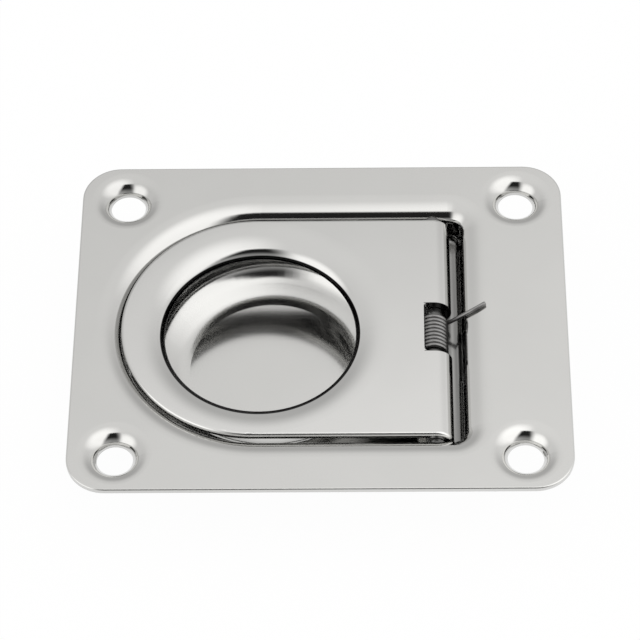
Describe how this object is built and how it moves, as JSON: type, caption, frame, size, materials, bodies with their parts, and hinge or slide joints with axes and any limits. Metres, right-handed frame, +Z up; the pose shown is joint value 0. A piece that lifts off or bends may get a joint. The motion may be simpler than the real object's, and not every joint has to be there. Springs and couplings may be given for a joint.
{
  "type": "flush ring pull",
  "caption": "Flush pull pressed from steel sheet: a dished ring handle folds into a recessed plate with a finger cup and is drawn shut by a torsion spring on its hinge pin.",
  "frame": {"origin": "under the finger cup, at the middle of the flange in plan", "axes": "+X from the ring towards the hinge, +Y along the hinge pin, +Z up out of the recess"},
  "size_m": [0.076, 0.062, 0.014],
  "materials": {
    "plate_steel": "mirror polished stainless steel",
    "handle_steel": "mirror polished stainless steel",
    "pin_steel": "plain drawn stainless rod",
    "spring_steel": "dull drawn spring wire"
  },
  "bodies": {
    "base": {"base_plate": "plate_steel", "hinge_pin": "pin_steel", "torsion_spring": "spring_steel"},
    "handle": {"ring_handle": "handle_steel"}
  },
  "joints": [
    {"name": "handle_hinge", "type": "hinge", "parent": "base", "child": "handle", "pos_m": [0.0175, 0, 0.0105], "axis": [0, 1, 0], "range_deg": [0, 90], "stiffness_Nm_per_rad": 0.0185, "springref_deg": -57.3, "deforming": ["torsion_spring"]}
  ]
}
